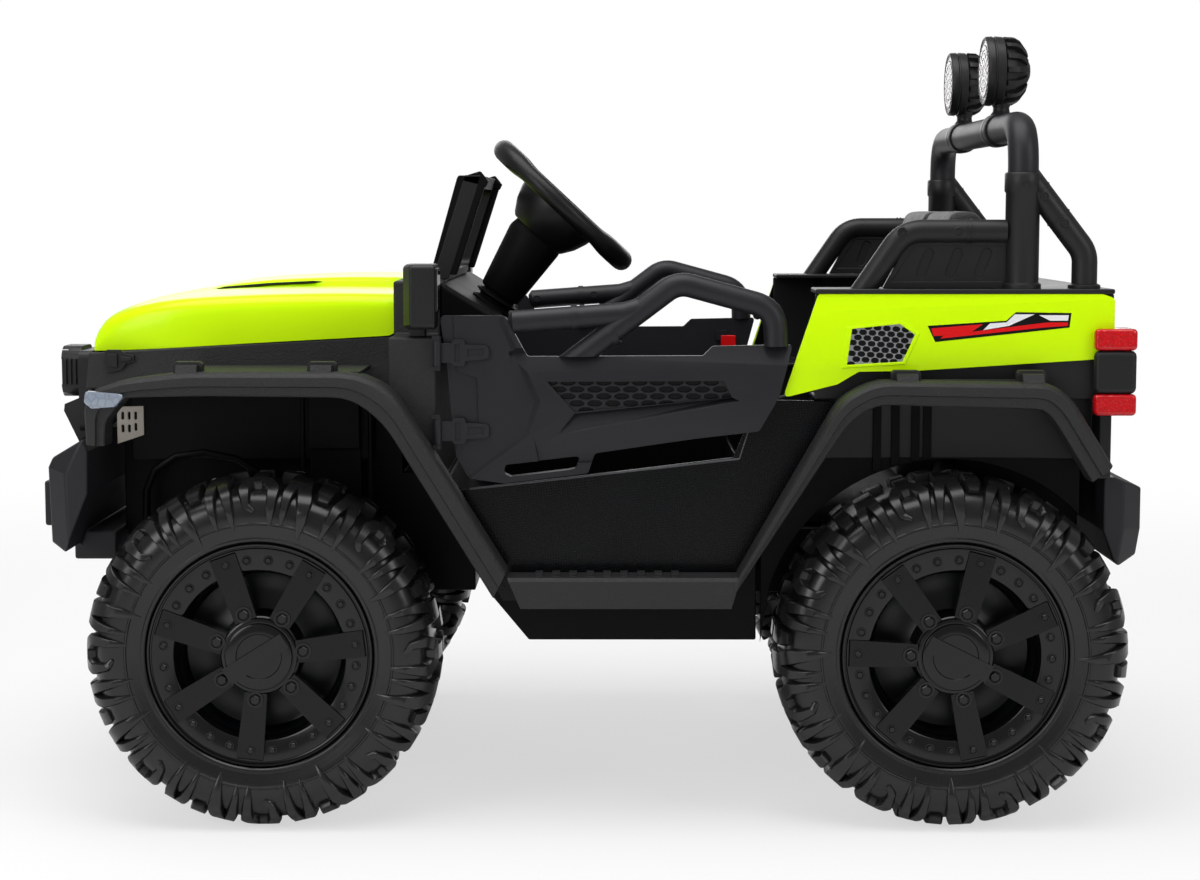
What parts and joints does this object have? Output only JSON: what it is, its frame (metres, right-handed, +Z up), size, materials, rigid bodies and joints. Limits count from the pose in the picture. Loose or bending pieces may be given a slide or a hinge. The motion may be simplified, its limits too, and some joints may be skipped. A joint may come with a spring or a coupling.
{
  "type": "ride-on toy off-road 4x4",
  "caption": "Battery ride-on toy off-road 4x4 for two small children, with steered front wheels, hinged doors, a roll bar and spot lamps.",
  "frame": {"origin": "on the floor under the middle of the overall length and width", "axes": "+X forward, +Y to the vehicle's left, +Z up"},
  "size_m": [1.34, 0.8, 0.945],
  "materials": {
    "lime_plastic": "gloss",
    "pebbled_plastic": "pebbled",
    "satin_plastic": "satin",
    "inner_plastic": "matte",
    "woven_panel": "gloss weave",
    "tyre_plastic": "semi-gloss",
    "rim_plastic": "gloss",
    "lamp_lens": "faceted",
    "red_lens": "gloss",
    "mirror_film": "polished",
    "seat_cover": "grained, stitched",
    "axle_steel": "turned",
    "battery_case": "moulded"
  },
  "bodies": {
    "chassis": {"armrests": "satin_plastic", "battery": "battery_case", "bonnet": "lime_plastic", "cabin_tub": "inner_plastic", "cowl": "pebbled_plastic", "dashboard": "satin_plastic", "door_hinges": "satin_plastic", "flares_front": "pebbled_plastic", "flares_rear": "pebbled_plastic", "front_axle": "axle_steel", "front_bumper": "satin_plastic", "front_chassis": "inner_plastic", "front_shell": "pebbled_plastic", "gearboxes": "inner_plastic", "grille": "satin_plastic", "headlamps": "lamp_lens", "indicator_lamps": "lamp_lens", "mirror_glasses": "mirror_film", "mirrors": "satin_plastic", "quarter_panels": "lime_plastic", "rear_axle": "axle_steel", "rear_bumper": "satin_plastic", "rear_chassis": "inner_plastic", "rear_deck": "satin_plastic", "rear_shell": "satin_plastic", "roll_bar": "satin_plastic", "seat_backs": "seat_cover", "seat_cushions": "seat_cover", "side_panels": "woven_panel", "spot_lamps": "satin_plastic", "spot_lenses": "lamp_lens", "steering_column": "inner_plastic", "steps": "pebbled_plastic", "tail_lamp_boxes": "satin_plastic", "tail_lenses": "red_lens", "tailgate": "lime_plastic", "windscreen_frame": "satin_plastic"},
    "steering": {"steering_wheel": "satin_plastic"},
    "knuckle_left": {"knuckle_left": "axle_steel"},
    "knuckle_right": {"knuckle_right": "axle_steel"},
    "link": {"tie_rod": "axle_steel"},
    "wheel_front_left": {"tyre_front_left": "tyre_plastic", "rim_front_left": "rim_plastic"},
    "wheel_front_right": {"tyre_front_right": "tyre_plastic", "rim_front_right": "rim_plastic"},
    "wheel_rear_left": {"tyre_rear_left": "tyre_plastic", "rim_rear_left": "rim_plastic"},
    "wheel_rear_right": {"tyre_rear_right": "tyre_plastic", "rim_rear_right": "rim_plastic"},
    "door_left": {"door_left": "satin_plastic"},
    "door_right": {"door_right": "satin_plastic"}
  },
  "joints": [
    {"name": "steering", "type": "hinge", "parent": "chassis", "child": "steering", "pos_m": [0.026, 0.14, 0.736], "axis": [-0.682, 0, 0.7314], "range_deg": [-40, 40]},
    {"name": "steer_left", "type": "hinge", "parent": "chassis", "child": "knuckle_left", "pos_m": [0.378, 0.222, 0.21], "axis": [0, 0, 1], "range_deg": [-20, 20]},
    {"name": "steer_right", "type": "hinge", "parent": "chassis", "child": "knuckle_right", "pos_m": [0.378, -0.222, 0.21], "axis": [0, 0, 1], "range_deg": [-20, 20]},
    {"name": "link_slide", "type": "slide", "parent": "chassis", "child": "link", "axis": [0, 1, 0], "range_m": [-0.021, 0.021]},
    {"name": "roll_front_left", "type": "hinge", "parent": "knuckle_left", "child": "wheel_front_left", "pos_m": [0.378, 0.322, 0.21], "axis": [0, 1, 0], "continuous": true},
    {"name": "roll_front_right", "type": "hinge", "parent": "knuckle_right", "child": "wheel_front_right", "pos_m": [0.378, -0.322, 0.21], "axis": [0, 1, 0], "continuous": true},
    {"name": "roll_rear_left", "type": "hinge", "parent": "chassis", "child": "wheel_rear_left", "pos_m": [-0.437, 0.322, 0.21], "axis": [0, 1, 0], "continuous": true},
    {"name": "roll_rear_right", "type": "hinge", "parent": "chassis", "child": "wheel_rear_right", "pos_m": [-0.437, -0.322, 0.21], "axis": [0, 1, 0], "continuous": true},
    {"name": "door_left", "type": "hinge", "parent": "chassis", "child": "door_left", "pos_m": [0.1695, 0.36, 0.51], "axis": [0, 0, -1], "range_deg": [0, 55]},
    {"name": "door_right", "type": "hinge", "parent": "chassis", "child": "door_right", "pos_m": [0.1695, -0.36, 0.51], "axis": [0, 0, 1], "range_deg": [0, 55]}
  ],
  "couplings": [
    {"joint": "steer_left", "follows": "steering", "ratio": 0.5},
    {"joint": "steer_right", "follows": "steering", "ratio": 0.5},
    {"joint": "link_slide", "follows": "steering", "m_per_rad": -0.03}
  ]
}
